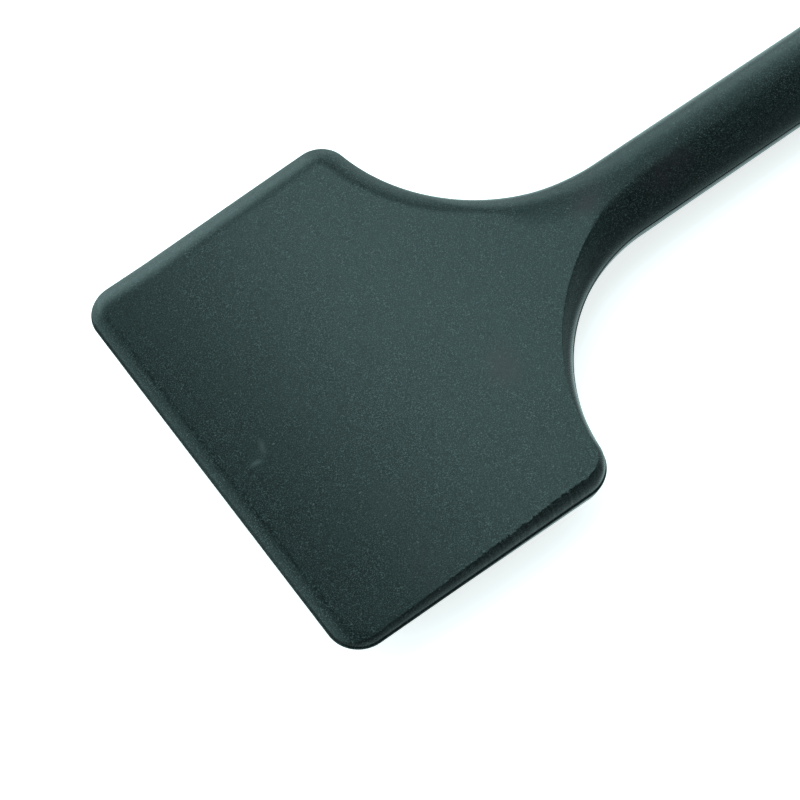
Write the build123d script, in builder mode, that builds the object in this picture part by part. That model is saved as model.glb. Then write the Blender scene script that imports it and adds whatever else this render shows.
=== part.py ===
"""Wide-blade spudger: a flat prying and scraping blade on a round handle.

The tool is one injection moulding. It is modelled as the four regions that a
toolmaker would name, which meet face to face on planes across the tool:

    blade        the wide wedge, from the working edge to the shoulders
    neck         the flare from the blade's width down to the round handle
    handle       the plain round bar
    chisel_tip   the narrow chisel ground on the far end of the bar

Frame: X runs along the tool, from the wide blade (-X) to the chisel (+X),
Y across the blade, Z up out of the blade's face. The origin is the centre of
the tool's box, on the parting plane. Millimetres.
"""
import os
from math import radians, sqrt, tan

from build123d import *

# ---- driving dimensions -------------------------------------------------
total_length = 155.0

handle_radius = 3.8

blade_width = 40.0            # across the working edge
blade_side_flare = 0.018      # each side widens by this much per mm of length
blade_length = 26.9           # working edge to the back of the shoulders
front_corner_radius = 2.9
shoulder_corner_radius = 3.1
flare_radius = 16.5           # concave sweep from a shoulder to the handle

edge_thickness = 0.7          # at the very front of the blade
bevel_length = 1.3            # short front bevel, then the long wedge
wedge_start_thickness = 1.86  # of the long wedge, projected to the front
wedge_slope = 0.0555          # rise of one face per mm of length
wedge_length = 25.0           # the faces are flat up to here, then they curve up

chisel_length = 18.0
chisel_taper = 1.2            # degrees, narrows the bar towards the chisel's edge
chisel_edge_thickness = 0.8
chisel_corner_radius = 1.6

# ---- derived ------------------------------------------------------------
x_front = -total_length / 2
x_end = total_length / 2

half_width = blade_width / 2


def side_y(u):
    """Half width of the blade's straight side at a distance u from the front."""
    return half_width + blade_side_flare * u


# The shoulder corner is an arc that ends the straight side and is tangent to the
# concave flare; the flare is tangent to the handle where it ends.
shoulder_u = blade_length - shoulder_corner_radius
shoulder_y = side_y(shoulder_u) - shoulder_corner_radius
flare_y = handle_radius + flare_radius
centres = flare_radius + shoulder_corner_radius
flare_u = shoulder_u + sqrt(centres**2 - (flare_y - shoulder_y) ** 2)

x_shoulder = x_front + shoulder_u      # blade | neck
x_handle = x_front + flare_u           # neck | handle
x_chisel = x_end - chisel_length       # handle | chisel tip

# Where the corner arc hands over to the flare.
joint_x = x_shoulder + (flare_u - shoulder_u) * shoulder_corner_radius / centres
joint_y = shoulder_y + (flare_y - shoulder_y) * shoulder_corner_radius / centres

# Half thickness of the tool along the wedge.
wedge_start = wedge_start_thickness / 2
bevel_z = wedge_start + wedge_slope * bevel_length
shoulder_z = wedge_start + wedge_slope * shoulder_u
wedge_end_z = wedge_start + wedge_slope * wedge_length
x_wedge_end = x_front + wedge_length

os.makedirs("parts", exist_ok=True)

# ---- blade: a two-sided wedge with a short bevel at the working edge -----
with BuildPart() as blade:
    with BuildSketch(Plane.XY.offset(-handle_radius)):
        with BuildLine():
            Polyline(
                (x_shoulder, side_y(shoulder_u)),
                (x_front, side_y(0)),
                (x_front, -side_y(0)),
                (x_shoulder, -side_y(shoulder_u)),
                close=True,
            )
        make_face()
        fillet(vertices().group_by(Axis.X)[0], front_corner_radius)
    extrude(amount=2 * handle_radius)
    # The faces rise from the working edge to the shoulders.
    with BuildSketch(Plane.XZ):
        with BuildLine():
            Polyline(
                (x_front, 0),
                (x_front, edge_thickness / 2),
                (x_front + bevel_length, bevel_z),
                (x_shoulder, shoulder_z),
                (x_shoulder, 0),
            )
            mirror(about=Plane.XZ)
        make_face()
    extrude(amount=blade_width, both=True, mode=Mode.INTERSECT)

# ---- neck: shoulders, concave flares and the run-out of the two faces ----
with BuildPart() as neck:
    with BuildSketch(Plane.XY.offset(-handle_radius)):
        with BuildLine():
            Line((x_shoulder, 0), (x_shoulder, shoulder_y + shoulder_corner_radius))
            RadiusArc(
                (x_shoulder, shoulder_y + shoulder_corner_radius),
                (joint_x, joint_y),
                shoulder_corner_radius,
            )
            RadiusArc((joint_x, joint_y), (x_handle, handle_radius), -flare_radius)
            Line((x_handle, handle_radius), (x_handle, 0))
            mirror(about=Plane.XZ)
        make_face()
    extrude(amount=2 * handle_radius)
    # The faces stay flat a little past the shoulders, then curve up to the crest
    # of the round handle and run out there.
    with BuildSketch(Plane.XZ):
        with BuildLine():
            Polyline(
                (x_shoulder, 0),
                (x_shoulder, shoulder_z),
                (x_wedge_end, wedge_end_z),
            )
            TangentArc(
                (x_wedge_end, wedge_end_z),
                (x_handle, handle_radius),
                tangent=(1, wedge_slope),
            )
            Line((x_handle, handle_radius), (x_handle, 0))
            mirror(about=Plane.XZ)
        make_face()
    extrude(amount=blade_width, both=True, mode=Mode.INTERSECT)
    # The handle's round section is carried along both flares, so each flare is
    # cut by a waisted spool that stands on the flare's centre.
    for side in (1, -1):
        with BuildSketch(Plane.XZ.offset(-side * flare_y)):
            with BuildLine():
                rim = flare_radius + handle_radius
                ThreePointArc(
                    (x_handle - rim, handle_radius),
                    (x_handle - flare_radius, 0),
                    (x_handle - rim, -handle_radius),
                )
                Polyline(
                    (x_handle - rim, -handle_radius),
                    (x_handle, -handle_radius),
                    (x_handle, handle_radius),
                    (x_handle - rim, handle_radius),
                )
            make_face()
        revolve(
            axis=Axis((x_handle, side * flare_y, 0), (0, 0, 1)), mode=Mode.SUBTRACT
        )

# ---- handle: a plain round bar -------------------------------------------
with BuildPart() as handle:
    with BuildSketch(Plane.YZ.offset(x_handle)):
        Circle(handle_radius)
    extrude(amount=x_chisel - x_handle)

# ---- chisel tip: two flats planed on the narrowing bar, rounded corners ---
chisel_half_width = handle_radius - chisel_length * tan(radians(chisel_taper))
with BuildPart() as chisel_tip:
    with BuildSketch(Plane.YZ.offset(x_chisel)):
        Circle(handle_radius)
    extrude(amount=chisel_length, taper=chisel_taper)
    with BuildSketch(Plane.XZ):
        with BuildLine():
            Polyline(
                (x_chisel, handle_radius),
                (x_end, chisel_edge_thickness / 2),
                (x_end, -chisel_edge_thickness / 2),
                (x_chisel, -handle_radius),
                close=True,
            )
        make_face()
    extrude(amount=blade_width, both=True, mode=Mode.INTERSECT)
    with BuildSketch(Plane.XY.offset(-handle_radius)):
        with BuildLine():
            Polyline(
                (x_chisel, handle_radius),
                (x_end, chisel_half_width),
                (x_end, -chisel_half_width),
                (x_chisel, -handle_radius),
                close=True,
            )
        make_face()
        fillet(vertices().group_by(Axis.X)[-1], chisel_corner_radius)
    extrude(amount=2 * handle_radius, mode=Mode.INTERSECT)

for name, region in (
    ("blade", blade),
    ("neck", neck),
    ("handle", handle),
    ("chisel_tip", chisel_tip),
):
    region.part.label = name
    export_step(region.part, f"parts/{name}.step")
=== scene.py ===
"""Wide-blade spudger, the looks: one mould-textured nylon skin in four named regions.

Lengths are in metres, in the frame of the CAD model: X along the tool with the wide
blade at -X, Y across the blade, Z up out of its face, the origin in the middle of the
tool on the parting plane. The blade's upper face is well rounded along its edge at +Y
and sharp along the one at -Y.
"""
import math

import bpy
import numpy as np
from mathutils import Matrix, Vector


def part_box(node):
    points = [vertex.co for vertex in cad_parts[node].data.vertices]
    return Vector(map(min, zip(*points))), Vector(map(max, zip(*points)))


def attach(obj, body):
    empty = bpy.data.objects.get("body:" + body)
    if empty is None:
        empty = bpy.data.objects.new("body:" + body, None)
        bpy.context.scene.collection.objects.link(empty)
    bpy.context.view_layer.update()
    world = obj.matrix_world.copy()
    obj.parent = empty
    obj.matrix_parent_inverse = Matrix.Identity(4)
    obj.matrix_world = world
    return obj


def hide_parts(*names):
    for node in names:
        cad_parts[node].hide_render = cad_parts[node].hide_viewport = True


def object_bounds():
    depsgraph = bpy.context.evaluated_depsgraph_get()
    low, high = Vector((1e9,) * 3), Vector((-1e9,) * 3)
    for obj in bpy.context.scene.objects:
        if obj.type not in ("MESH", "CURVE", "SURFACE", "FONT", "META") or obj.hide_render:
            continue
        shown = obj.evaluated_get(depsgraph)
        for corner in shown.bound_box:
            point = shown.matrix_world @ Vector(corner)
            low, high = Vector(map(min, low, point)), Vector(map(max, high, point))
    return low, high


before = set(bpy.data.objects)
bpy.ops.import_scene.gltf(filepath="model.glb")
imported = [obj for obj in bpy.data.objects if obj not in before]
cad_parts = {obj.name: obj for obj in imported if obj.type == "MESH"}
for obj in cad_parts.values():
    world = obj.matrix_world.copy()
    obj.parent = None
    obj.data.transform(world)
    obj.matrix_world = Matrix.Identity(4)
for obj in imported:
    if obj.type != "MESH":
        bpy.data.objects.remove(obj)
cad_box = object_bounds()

MM = 0.001
TINY = 1e-9                             # keeps a division from being by zero

# ---- the frame: where the four regions meet ------------------------------
blade_lo, blade_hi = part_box("blade")
handle_lo, handle_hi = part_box("handle")
chisel_lo, chisel_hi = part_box("chisel_tip")

x_front = blade_lo.x
x_shoulder = blade_hi.x
x_handle = handle_lo.x
x_chisel = chisel_lo.x
x_end = chisel_hi.x
bar = handle_hi.z                       # radius of the round handle
shoulder_half = blade_hi.y              # half width of the blade at x_shoulder

# ---- plan outline --------------------------------------------------------
side_flare = 0.018                      # widening of each side per unit length
front_r = 2.9 * MM
shoulder_r = 3.1 * MM
flare_r = 16.5 * MM
chisel_r = 1.6 * MM
chisel_narrows = math.tan(math.radians(1.2))

front_half = shoulder_half - side_flare * (x_shoulder - x_front)
flare_y = bar + flare_r                 # centre of the concave flare, at x_handle
corner_y = shoulder_half - shoulder_r   # centre of the shoulder corner, at x_shoulder
hand_over = math.atan2(flare_y - corner_y, x_handle - x_shoulder)

# ---- thickness -----------------------------------------------------------
wedge_start = 0.93 * MM                 # half thickness of the long wedge at the front
wedge_slope = 0.0555
wedge_length = 25.0 * MM                # flat up to here, then a gentle upward curve
chisel_edge = 0.4 * MM

# The two mould halves meet in a thin fin of flash round the whole tool, which stands
# proud of the sides. It is heavier on the blade than on the bar.
blade_fin_proud = 0.13 * MM
bar_fin_proud = 0.05 * MM
blade_fin_z = 0.18 * MM                 # half its thickness
bar_fin_z = 0.07 * MM
wall_lean = 0.27                        # how far the blade's side leans in, to its height
wall_curve = 0.4                        # under 1 makes it lean in more towards the top

# How the edges of the planed faces are broken: the drop at the edge and its width.
front_roll = (0.56 * MM, 1.4 * MM)      # at the working edge
fine_roll = (0.05 * MM, 0.8 * MM)       # everywhere
side_round_r = 4.2 * MM                 # the rounded long edge of the upper face
side_round_depth = 1.0 * MM
under_roll_depth = 1.05 * MM            # both long edges of the under face


def smooth(a, b, x):
    """Eases from 0 at x = a to 1 at x = b."""
    t = np.clip((x - a) / (b - a), 0.0, 1.0)
    return t * t * (3 - 2 * t)


def half_chord(r, offset):
    """Half the width of a circle of radius r at an offset from its centre."""
    return np.sqrt(np.maximum(r**2 - offset**2, 0))


def half_width(x):
    """Half width of the plan outline at x (an array)."""
    w = front_half + side_flare * (x - x_front)
    from_front = np.clip(x - x_front, 0, front_r)
    w -= front_r - half_chord(front_r, front_r - from_front)
    past_shoulder = x - x_shoulder
    w = np.where(past_shoulder > 0, corner_y + half_chord(shoulder_r, past_shoulder), w)
    flare = flare_y - half_chord(flare_r, x_handle - x)
    w = np.where(past_shoulder > shoulder_r * math.cos(hand_over), flare, w)
    w = np.where(x > x_handle, bar, w)
    w -= chisel_narrows * np.maximum(x - x_chisel, 0)
    from_end = np.clip(x_end - x, 0, chisel_r)
    w -= chisel_r - half_chord(chisel_r, chisel_r - from_end)
    return w


def edge_distance(x, y):
    """Distance in plan from the outline, and the X part of its outward direction there."""
    y = np.abs(y)
    front = x - x_front
    side = front_half + side_flare * front - y
    # front corners
    a, b = front_r - front, front_r - side
    inside = (a > 0) & (b > 0)
    h = np.maximum(np.hypot(a, b), TINY)
    d = np.where(inside, front_r - h, np.minimum(front, side))
    nx = np.where(inside, -a / h, np.where(front < side, -1.0, 0.0))
    # shoulder corners and flares
    px, py = x - x_shoulder, y - corner_y
    h = np.maximum(np.hypot(px, py), TINY)
    corner = (px > 0) & (np.arctan2(py, px) > hand_over) & (h <= 1.5 * shoulder_r)
    d = np.where(corner, shoulder_r - h, d)
    nx = np.where(corner, px / h, nx)
    qx, qy = x_handle - x, flare_y - y
    h = np.maximum(np.hypot(qx, qy), TINY)
    flare = ~corner & (x > x_shoulder) & (x <= x_handle)
    d = np.where(flare, h - flare_r, d)
    nx = np.where(flare, qx / h, nx)
    # handle and chisel corners
    end = x_end - x
    side = bar - chisel_narrows * np.maximum(x - x_chisel, 0) - y
    a, b = chisel_r - end, chisel_r - side
    tip = (a > 0) & (b > 0)
    h = np.maximum(np.hypot(a, b), TINY)
    on_bar = x > x_handle
    d = np.where(on_bar, np.where(tip, chisel_r - h, np.minimum(side, end)), d)
    nx = np.where(on_bar, np.where(tip, a / h, np.where(end < side, 1.0, 0.0)), nx)
    return np.maximum(d, 0), nx


def bar_share(x):
    """0 where the sides are those of the blade, 1 where they are those of the round bar."""
    return smooth(x_shoulder - 2 * MM, x_handle - 5 * MM, x)


def fin_proud(x):
    """How far the fin of flash stands proud of the side."""
    return blade_fin_proud + (bar_fin_proud - blade_fin_proud) * bar_share(x)


def fin_z(x):
    """Half the thickness of the fin of flash."""
    return blade_fin_z + (bar_fin_z - blade_fin_z) * bar_share(x)


def wall(d, x):
    """Height of the side at a distance d inside the outline.

    On the blade it rises steeply, then leans in ever more; on the bar it is round.
    """
    bar_r = bar - bar_fin_proud
    e = np.clip(d - fin_proud(x), 0, bar_r)
    top = wedge_start + wedge_slope * np.clip(x - x_front, 0, wedge_length)
    leaning = np.minimum(top * (e / (wall_lean * top)) ** wall_curve, 2 * top)
    rounded = half_chord(bar_r, bar_r - e)
    return leaning + (rounded - leaning) * bar_share(x)


def fin(d, x):
    """Height of the fin of flash at a distance d inside the outline."""
    t = np.clip(d / (0.5 * fin_z(x)), 0, 1)
    return fin_z(x) * half_chord(1, 1 - t)


def roll_over(d, depth, width):
    """Drop of a face that rolls over towards its edge, ever more steeply."""
    return depth * np.clip(1 - d / width, 0, 1) ** 2


def face(x, y, under):
    """Height of the planed face: wedge, run-out on the handle, chisel."""
    u = x - x_front
    z = wedge_start + wedge_slope * u
    run_out = x_handle - x_front - wedge_length
    rise = bar - (wedge_start + wedge_slope * (wedge_length + run_out))
    z = z + rise * (np.maximum(u - wedge_length, 0) / run_out) ** 2
    slope = (bar - chisel_edge) / (x_end - x_chisel)
    z = np.minimum(z, chisel_edge + slope * (x_end - x))
    # The face rolls over softly at the working edge and along the soft sides.
    d, nx = edge_distance(x, y)
    on_blade = 1 - smooth(x_handle - 6 * MM, x_handle, x)
    at_front = np.clip(-nx, 0, 1) ** 2
    if under:
        depth = np.minimum(under_roll_depth, z - 0.25 * MM)
        side_roll = roll_over(d, depth, 2.2 * depth)
    else:
        r = side_round_r
        depth = np.minimum(side_round_depth, z - 0.3 * MM)
        width = half_chord(r, r - depth)
        side_roll = np.where(y > 0, r - half_chord(r, np.clip(width - d, 0, r)), 0)
    z = z - on_blade * at_front * roll_over(d, *front_roll)
    z = z - on_blade * (1 - at_front) * side_roll
    return z - on_blade * roll_over(d, *fine_roll)


# Torn burr along the sharp edge of the face: bumps and bites of uneven height along X.
burr_step = 0.10 * MM
burr_height = 0.13 * MM
burr_bite = 0.16 * MM
burr_lip = 0.10 * MM                    # half width of the raised lip
burr_count = 400
rng = np.random.default_rng(11)
burr_bumps = rng.uniform(-1.0, 1.0, burr_count).clip(0)
burr_bites = rng.uniform(-1.0, 1.0, burr_count)
burr_x = x_front + burr_step * np.arange(burr_count)


def burr_grows(x, y):
    """Strength of the burr: strongest at the shoulder, gone by the front corner."""
    along = smooth(x_front + 3 * MM, x_shoulder - 4 * MM, x)
    return along * (1 - smooth(x_shoulder, x_shoulder + 3 * MM, x)) * (y < 0)


def burr(x, y):
    """Height of the lip of the burr."""
    return burr_height * np.interp(x, burr_x, burr_bumps) * burr_grows(x, y)


def ragged(x, y):
    """How the torn edge wanders in and out, as a change in the height of the side."""
    return burr_bite * np.interp(x, burr_x, burr_bites) * burr_grows(x, y)


def height(x, y, under):
    """Height of the skin above the parting plane."""
    d, _ = edge_distance(x, y)
    side, top = wall(d, x), face(x, y, under)
    if not under:
        side = side + ragged(x, y)
    # The lower of the two counts. On the neck the face runs out into the bar, so they
    # blend there, softly on the side with soft edges.
    soft = 1 if under else 0.06 + 0.94 * smooth(-2.5 * MM, 2.5 * MM, y)
    blend = 0.001 * MM + 1.8 * MM * soft * smooth(x_shoulder, x_handle - 3 * MM, x)
    share = np.clip(0.5 + (top - side) / (2 * blend), 0, 1)
    z = top + (side - top) * share - blend * share * (1 - share)
    if not under:
        z = z + burr(x, y) * np.exp(-(((side - top) / burr_lip) ** 2))
    return np.maximum(z, fin(d, x))


# ---- stations along the tool --------------------------------------------
FRONT_RINGS, SHOULDER_RINGS, FLARE_RINGS = 34, 18, 70
HANDLE_RINGS, CHISEL_RINGS, END_RINGS = 170, 56, 20


def stations():
    """Places along X of the rings, closer together where the outline turns."""
    turn = np.linspace(0, math.pi / 2, FRONT_RINGS)
    xs = [x_front + front_r * (1 - np.cos(turn))]
    xs.append(np.arange(x_front + front_r, x_shoulder, burr_step))
    turn = np.linspace(0, math.pi / 2 - hand_over, SHOULDER_RINGS)
    xs.append(x_shoulder + shoulder_r * np.sin(turn))
    turn = np.linspace(hand_over, math.pi / 2, FLARE_RINGS)
    xs.append(x_handle - flare_r * np.cos(turn))
    xs.append(np.linspace(x_handle, x_chisel, HANDLE_RINGS))
    xs.append(np.linspace(x_chisel, x_end - chisel_r, CHISEL_RINGS))
    turn = np.linspace(0, math.pi / 2, END_RINGS)
    xs.append(x_end - chisel_r + chisel_r * np.sin(turn))
    xs = np.concatenate(xs + [[x_shoulder, x_handle, x_chisel]])
    xs = np.sort(xs)
    keep = np.concatenate([[True], np.diff(xs) > 1e-7])
    return xs[keep]


HALVINGS = 40                           # of each search for a row's place


def crease(x, w, side, under):
    """Where the planed face meets the side, as a distance from the middle."""
    lo, hi = np.zeros_like(x), w.copy()
    for _ in range(HALVINGS):
        mid = (lo + hi) / 2
        d, _ = edge_distance(x, side * mid)
        bite = 0 if under else ragged(x, side * mid)
        above = wall(d, x) + bite > face(x, side * mid, under)
        lo, hi = np.where(above, mid, lo), np.where(above, hi, mid)
    return lo


# Rows of points on the face, on the side, and on the fin as shares of how far it
# stands proud.
FACE_LINES, WALL_LINES = 50, 18
FIN_LINES = (1.0, 0.8, 0.6, 0.4, 0.2, 0.07)


def inset_row(x, w, c, side, inset):
    """|y| where the outline is a distance inset away, between the crease and the rim."""
    lo, hi = c.copy(), w.copy()
    for _ in range(HALVINGS):
        mid = (lo + hi) / 2
        d, _ = edge_distance(x, side * mid)
        lo, hi = np.where(d > inset, mid, lo), np.where(d > inset, hi, mid)
    return hi


def half_section(xs, side, under):
    """Points (|y|, z) from the middle to the outline, with one row on the crease."""
    w = half_width(xs)
    c = crease(xs, w, side, under)
    # On the round bar there is no crease: the lines spread evenly round it.
    spread = smooth(x_handle, x_handle + 4 * MM, xs)
    spread *= 1 - smooth(x_chisel - 4 * MM, x_chisel, xs)
    c = np.clip(c, 0.06 * w, w - 1.5 * blade_fin_proud)
    c = c + (0.85 * w - c) * spread
    y = [c * (1 - (1 - k) ** 1.5) for k in np.linspace(0, 1, FACE_LINES)]
    bar_r = bar - bar_fin_proud
    d_crease, _ = edge_distance(xs, side * c)
    turn = np.arccos(1 - np.clip(d_crease - fin_proud(xs), 0, bar_r) / bar_r)
    for k in np.linspace(1, 0, WALL_LINES)[1:]:
        y.append(inset_row(xs, w, c, side, fin_proud(xs) + bar_r * (1 - np.cos(turn * k))))
    for k in FIN_LINES:
        y.append(inset_row(xs, w, c, side, k * fin_proud(xs)))
    z = [height(xs, side * row, under) for row in y]
    y.append(w)
    z.append(np.zeros_like(w))
    y, z = np.stack(y, axis=1), np.stack(z, axis=1)
    # Both ends close in one thin edge, where the upper and under rows coincide.
    for end in (0, -1):
        y[end] = w[end] * np.linspace(0, 1, y.shape[1])
        z[end] = 0
    return y, z


def skin_points():
    """Rings of points round the tool, one ring for each station."""
    xs = stations()
    rings = []
    for side, under in ((1, False), (-1, False), (-1, True), (1, True)):
        rows, z = half_section(xs, side, under)
        x = np.repeat(xs[:, None], rows.shape[1], axis=1)
        rings.append(np.stack([x, side * rows, -z if under else z], axis=2))
    top_far, top_near, under_near, under_far = rings
    ring = [top_far[:, ::-1], top_near[:, 1:], under_near[:, -2::-1], under_far[:, 1:-1]]
    return xs, np.concatenate(ring, axis=1)


xs, points = skin_points()
n_ring = points.shape[1]


def make_region(name, x_from, x_to, normals):
    """A closed mesh of the skin between two stations, smooth across its ends."""
    first = int(np.argmin(np.abs(xs - x_from)))
    last = int(np.argmin(np.abs(xs - x_to)))
    count = last - first + 1
    verts = points[first : last + 1].reshape(-1, 3)
    i, j = np.meshgrid(np.arange(count - 1), np.arange(n_ring), indexing="ij")
    a = i * n_ring + j
    b = i * n_ring + (j + 1) % n_ring
    quads = np.stack([a, b, b + n_ring, a + n_ring], axis=2).reshape(-1, 4)
    caps = [list(range(n_ring))[::-1], [(count - 1) * n_ring + k for k in range(n_ring)]]
    # Points that coincide become one vertex, and faces that collapse are left out.
    cells = np.round(verts / (1e-4 * MM)).astype(np.int64)
    _, keep, same = np.unique(cells, axis=0, return_index=True, return_inverse=True)
    same = same.reshape(-1)
    faces, cap_faces = [], []
    for face_ids in quads.tolist() + caps:
        ids = same[face_ids]
        ids = ids[ids != np.roll(ids, 1)].tolist()
        if len(set(ids)) < len(ids) or len(ids) < 3:
            continue
        if len(face_ids) == n_ring:
            cap_faces.append(len(faces))
        faces.append(ids)
    mesh = bpy.data.meshes.new(name)
    mesh.from_pydata(verts[keep].tolist(), [], faces)
    mesh.polygons.foreach_set("use_smooth", [True] * len(faces))
    corners = np.zeros(len(mesh.loops), dtype=np.int32)
    mesh.loops.foreach_get("vertex_index", corners)
    corner_normals = normals[first : last + 1].reshape(-1, 3)[keep][corners]
    for k in cap_faces:
        cap = mesh.polygons[k]
        outward = -1 if cap.center.x < (x_from + x_to) / 2 else 1
        corner_normals[cap.loop_start : cap.loop_start + cap.loop_total] = (outward, 0, 0)
    mesh.normals_split_custom_set(corner_normals.tolist())
    ob = bpy.data.objects.new(name, mesh)
    bpy.context.scene.collection.objects.link(ob)
    return ob


def ring_normals(p):
    """Area-weighted vertex normals of the whole skin, all inward or all outward."""
    nxt = np.roll(p, -1, axis=1)
    q = np.cross(nxt[:-1] - p[1:], nxt[1:] - p[:-1])
    n = np.zeros_like(p)
    n[:-1] += q
    n[1:] += q
    n[:-1] += np.roll(q, 1, axis=1)
    n[1:] += np.roll(q, 1, axis=1)
    length = np.linalg.norm(n, axis=2, keepdims=True)
    return n / np.maximum(length, 1e-20)


normals = ring_normals(points)
ring_middle = points.mean(axis=1, keepdims=True)
if ((points - ring_middle) * normals).sum() < 0:
    normals = -normals

regions = [
    ("blade_skin", "blade", x_front, x_shoulder),
    ("neck_skin", "neck", x_shoulder, x_handle),
    ("handle_skin", "handle", x_handle, x_chisel),
    ("chisel_tip_skin", "chisel_tip", x_chisel, x_end),
]
pieces = []
for name, node, x_from, x_to in regions:
    piece = make_region(name, x_from, x_to, normals)
    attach(piece, "root")
    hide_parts(node)
    pieces.append(piece)


# ---- material ------------------------------------------------------------
# Marks on the upper side. Each has its place in millimetres from the front edge and
# from the middle, half length, half width, turn in degrees, strength and colour.
PALE = (0.070, 0.080, 0.080, 1)
# A faint purplish darker tone, laid on three patches: on the neck, on the handle and on the
# blade.
DARK_PATCH = (0.026, 0.012, 0.018, 1)
MARKS = [
    (3.7, -1.95, 0.80, 0.36, -8, 0.55, PALE),
    (4.9, -1.05, 1.05, 0.38, 72, 0.35, PALE),
    (19.1, -19.2, 0.50, 0.09, -76, 1.0, PALE),
    (14.0, -12.7, 0.45, 0.10, 72, 0.8, PALE),
    (39.7, 0.0, 2.8, 1.7, 20, 0.7, DARK_PATCH),
    (24.4, -7.8, 3.6, 2.2, 60, 0.45, DARK_PATCH),
    (47.0, -1.6, 4.5, 1.8, 0, 0.5, DARK_PATCH),
]


def nylon():
    """Dark glass-filled nylon with a fine mould grain."""
    m = bpy.data.materials.new("moulded_nylon")
    m.use_nodes = True
    nt = m.node_tree
    nodes, link = nt.nodes, nt.links.new
    shader = nodes["Principled BSDF"]
    coord = nodes.new("ShaderNodeTexCoord")

    def noise_tex(scale, detail, rough):
        n = nodes.new("ShaderNodeTexNoise")
        n.inputs["Scale"].default_value = scale
        n.inputs["Detail"].default_value = detail
        n.inputs["Roughness"].default_value = rough
        link(coord.outputs["Object"], n.inputs["Vector"])
        return n.outputs["Fac"]

    def mapped(value, lo, hi, to_lo, to_hi):
        n = nodes.new("ShaderNodeMapRange")
        link(value, n.inputs["Value"])
        for key, v in zip(("From Min", "From Max", "To Min", "To Max"), (lo, hi, to_lo, to_hi)):
            n.inputs[key].default_value = v
        return n.outputs["Result"]

    def mix(fac, a, b):
        n = nodes.new("ShaderNodeMix")
        n.data_type = "RGBA"
        for socket, v in ((n.inputs["Factor"], fac), (n.inputs["A"], a), (n.inputs["B"], b)):
            if hasattr(v, "is_output"):
                link(v, socket)
            else:
                socket.default_value = v
        return n.outputs["Result"]

    # Fine spark-eroded grain with painted shade in its pits (the low points of the bump are
    # painted near black, the high points keep the nylon's grey), a cloudy mottle, faint purplish
    # smudges and rare pale specks.
    grain = noise_tex(10500, 1, 0.6)
    mottle = noise_tex(260, 3, 0.55)
    smudge = noise_tex(70, 2, 0.5)
    speck = noise_tex(5200, 0, 0.5)
    # Painted shade: the pits of the grain are painted near black, and its high points keep the
    # nylon's grey.
    grain_pit_shade = (0.0, 0.001, 0.001, 1)
    grey = (0.046, 0.061, 0.061, 1)
    colour = mix(mapped(grain, 0.47, 0.72, 0, 1), grain_pit_shade, grey)
    colour = mix(mapped(mottle, 0.40, 0.70, 0, 0.30), colour, (0.009, 0.015, 0.015, 1))
    colour = mix(mapped(smudge, 0.62, 0.78, 0, 0.35), colour, (0.018, 0.014, 0.016, 1))
    colour = mix(mapped(speck, 0.79, 0.86, 0, 1), colour, (0.055, 0.055, 0.055, 1))
    # A bent scuff near the front, two short scratches and a few faint purplish darker patches.
    mark_z, mark_half_height = 2 * MM, 3.2 * MM
    for front, y, half_length, half_wide, turn, strength, tone in MARKS:
        place = nodes.new("ShaderNodeMapping")
        place.vector_type = "TEXTURE"
        place.inputs["Location"].default_value = (x_front + front * MM, y * MM, mark_z)
        place.inputs["Rotation"].default_value = (0, 0, math.radians(turn))
        size = (half_length * MM, half_wide * MM, mark_half_height)
        place.inputs["Scale"].default_value = size
        link(coord.outputs["Object"], place.inputs["Vector"])
        reach = nodes.new("ShaderNodeVectorMath")
        reach.operation = "LENGTH"
        link(place.outputs["Vector"], reach.inputs[0])
        worn = nodes.new("ShaderNodeMath")
        worn.operation = "MULTIPLY"
        link(mapped(reach.outputs["Value"], 0.2, 1.0, strength, 0), worn.inputs[0])
        link(mapped(mottle, 0.30, 0.60, 0, 1), worn.inputs[1])
        colour = mix(worn.outputs["Value"], colour, tone)
    link(colour, shader.inputs["Base Color"])
    link(mapped(grain, 0.3, 0.7, 0.30, 0.22), shader.inputs["Roughness"])
    shader.inputs["Specular IOR Level"].default_value = 0.2
    shader.inputs["Specular Tint"].default_value = (0.86, 1.0, 1.0, 1)
    bump = nodes.new("ShaderNodeBump")
    bump.inputs["Strength"].default_value = 1.0
    bump.inputs["Distance"].default_value = 0.005 * MM
    link(grain, bump.inputs["Height"])
    link(bump.outputs["Normal"], shader.inputs["Normal"])
    return m


skin = nylon()
for piece in pieces:
    piece.data.materials.append(skin)

# ---- floor ---------------------------------------------------------------
# White card, a little self-lit and left out of glossy reflections, so that its shadows
# stay pale and the tool's sides dark.
floor_mesh = bpy.data.meshes.new("floor")
reach = 8.0
floor_mesh.from_pydata(
    [(-reach, -reach, 0), (reach, -reach, 0), (reach, reach, 0), (-reach, reach, 0)],
    [],
    [(0, 1, 2, 3)],
)
floor = bpy.data.objects.new("floor", floor_mesh)
floor.location = (0, 0, cad_box[0].z - 0.02 * MM)
bpy.context.scene.collection.objects.link(floor)
paper = bpy.data.materials.new("white_card")
paper.use_nodes = True
nt = paper.node_tree
shader = nt.nodes["Principled BSDF"]
coord = nt.nodes.new("ShaderNodeTexCoord")
tex = nt.nodes.new("ShaderNodeTexNoise")
tex.inputs["Scale"].default_value = 60
nt.links.new(coord.outputs["Object"], tex.inputs["Vector"])
ramp = nt.nodes.new("ShaderNodeValToRGB")
ramp.color_ramp.elements[0].color = (0.89, 0.89, 0.89, 1)
ramp.color_ramp.elements[1].color = (0.91, 0.91, 0.91, 1)
nt.links.new(tex.outputs["Fac"], ramp.inputs["Fac"])
nt.links.new(ramp.outputs["Color"], shader.inputs["Base Color"])
shader.inputs["Roughness"].default_value = 0.9
shader.inputs["Emission Color"].default_value = (1.0, 1.0, 1.0, 1)
shader.inputs["Emission Strength"].default_value = 0.68
floor_mesh.materials.append(paper)
floor.visible_glossy = False


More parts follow.
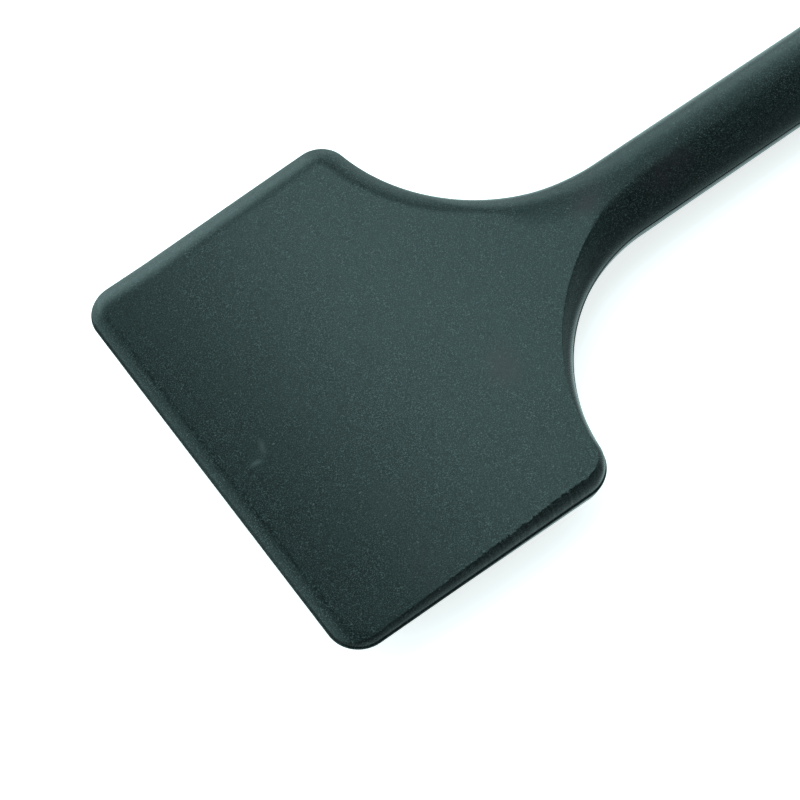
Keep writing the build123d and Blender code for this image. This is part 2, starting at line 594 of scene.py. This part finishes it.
# ---- light ---------------------------------------------------------------
# A light tent: the sky is a dim base with broad soft glows, each given by the
# direction it comes from, where it starts (as a cosine) and its strength.
glows = [
    ((-0.25, 0.97, 0.10), 0.65, 2.3),
    ((0.72, 0.62, 0.30), 0.80, 2.6),
    ((-0.02, 0.88, 0.44), 0.90, 3.2),
    ((-0.75, 0.45, 0.50), 0.70, 1.7),
    ((-1.00, 0.00, 0.15), 0.70, 1.0),
    ((1.00, -0.10, 0.20), 0.70, 1.0),
    ((0.00, -0.50, -0.85), 0.70, 0.45),
    ((0.50, 0.62, -0.60), 0.82, 1.1),
    ((0.45, 0.10, -0.90), 0.80, 0.7),
]
sky_base = 0.28
light_tint = (0.72, 1.0, 1.0)           # the reflections are blue-green

world = bpy.data.worlds.new("light_tent")
bpy.context.scene.world = world
world.use_nodes = True
nt = world.node_tree
coord = nt.nodes.new("ShaderNodeTexCoord")
total = None
for direction, start, strength in glows:
    dot = nt.nodes.new("ShaderNodeVectorMath")
    dot.operation = "DOT_PRODUCT"
    nt.links.new(coord.outputs["Generated"], dot.inputs[0])
    dot.inputs[1].default_value = Vector(direction).normalized()
    glow = nt.nodes.new("ShaderNodeMapRange")
    glow.interpolation_type = "SMOOTHSTEP"
    glow.inputs["From Min"].default_value = start
    glow.inputs["To Max"].default_value = strength
    nt.links.new(dot.outputs["Value"], glow.inputs["Value"])
    add = nt.nodes.new("ShaderNodeMath")
    add.operation = "ADD"
    nt.links.new(glow.outputs["Result"], add.inputs[0])
    if total:
        nt.links.new(total, add.inputs[1])
    else:
        add.inputs[1].default_value = sky_base
    total = add.outputs["Value"]
background = nt.nodes["Background"]
background.inputs["Color"].default_value = (*light_tint, 1)
nt.links.new(total, background.inputs["Strength"])


def softbox(name, across, along, size, radiance):
    """A soft rectangular light above the blade, where its face mirrors it to the camera."""
    centre = blade_middle + light_distance * light_dir + across * light_u + along * light_v
    data = bpy.data.lights.new(name, "AREA")
    data.shape = "RECTANGLE"
    data.size, data.size_y = size
    data.energy = radiance * math.pi * size[0] * size[1]
    data.color = light_tint
    ob = bpy.data.objects.new(name, data)
    facing = Matrix((light_u, light_v, light_dir)).transposed()
    ob.matrix_world = Matrix.Translation(centre) @ facing.to_4x4()
    bpy.context.scene.collection.objects.link(ob)


blade_middle = Vector((x_front + 22 * MM, 0, 2 * MM))
light_distance = 200 * MM
light_dir = Vector((0.20, 0.415, 0.89)).normalized()
light_u = Vector((0, 1, 0)).cross(light_dir).normalized()
light_v = light_dir.cross(light_u)
softbox("key", -3 * MM, -2 * MM, (60 * MM, 130 * MM), 5.0)
softbox("fill", 75 * MM, -30 * MM, (60 * MM, 120 * MM), 1.0)

# ---- camera --------------------------------------------------------------
azimuth, elevation, roll = -31.2, 63.4, -5.93
distance = 149.7 * MM
target = Vector((x_front + 16.63 * MM, -4.03 * MM, 0))
camera_data = bpy.data.cameras.new("camera")
camera_data.lens = 81.2
camera_data.sensor_width = 36.0
camera_data.clip_start = 10 * MM
camera = bpy.data.objects.new("camera", camera_data)
a, e = math.radians(azimuth), math.radians(elevation)
back = Vector((math.sin(a) * math.cos(e), -math.cos(a) * math.cos(e), math.sin(e)))
turn = (-back).to_track_quat("-Z", "Y").to_matrix() @ Matrix.Rotation(math.radians(roll), 3, "Z")
camera.matrix_world = Matrix.Translation(target + back * distance) @ turn.to_4x4()
bpy.context.scene.collection.objects.link(camera)
bpy.context.scene.camera = camera

bpy.context.scene.view_settings.view_transform = "Standard"
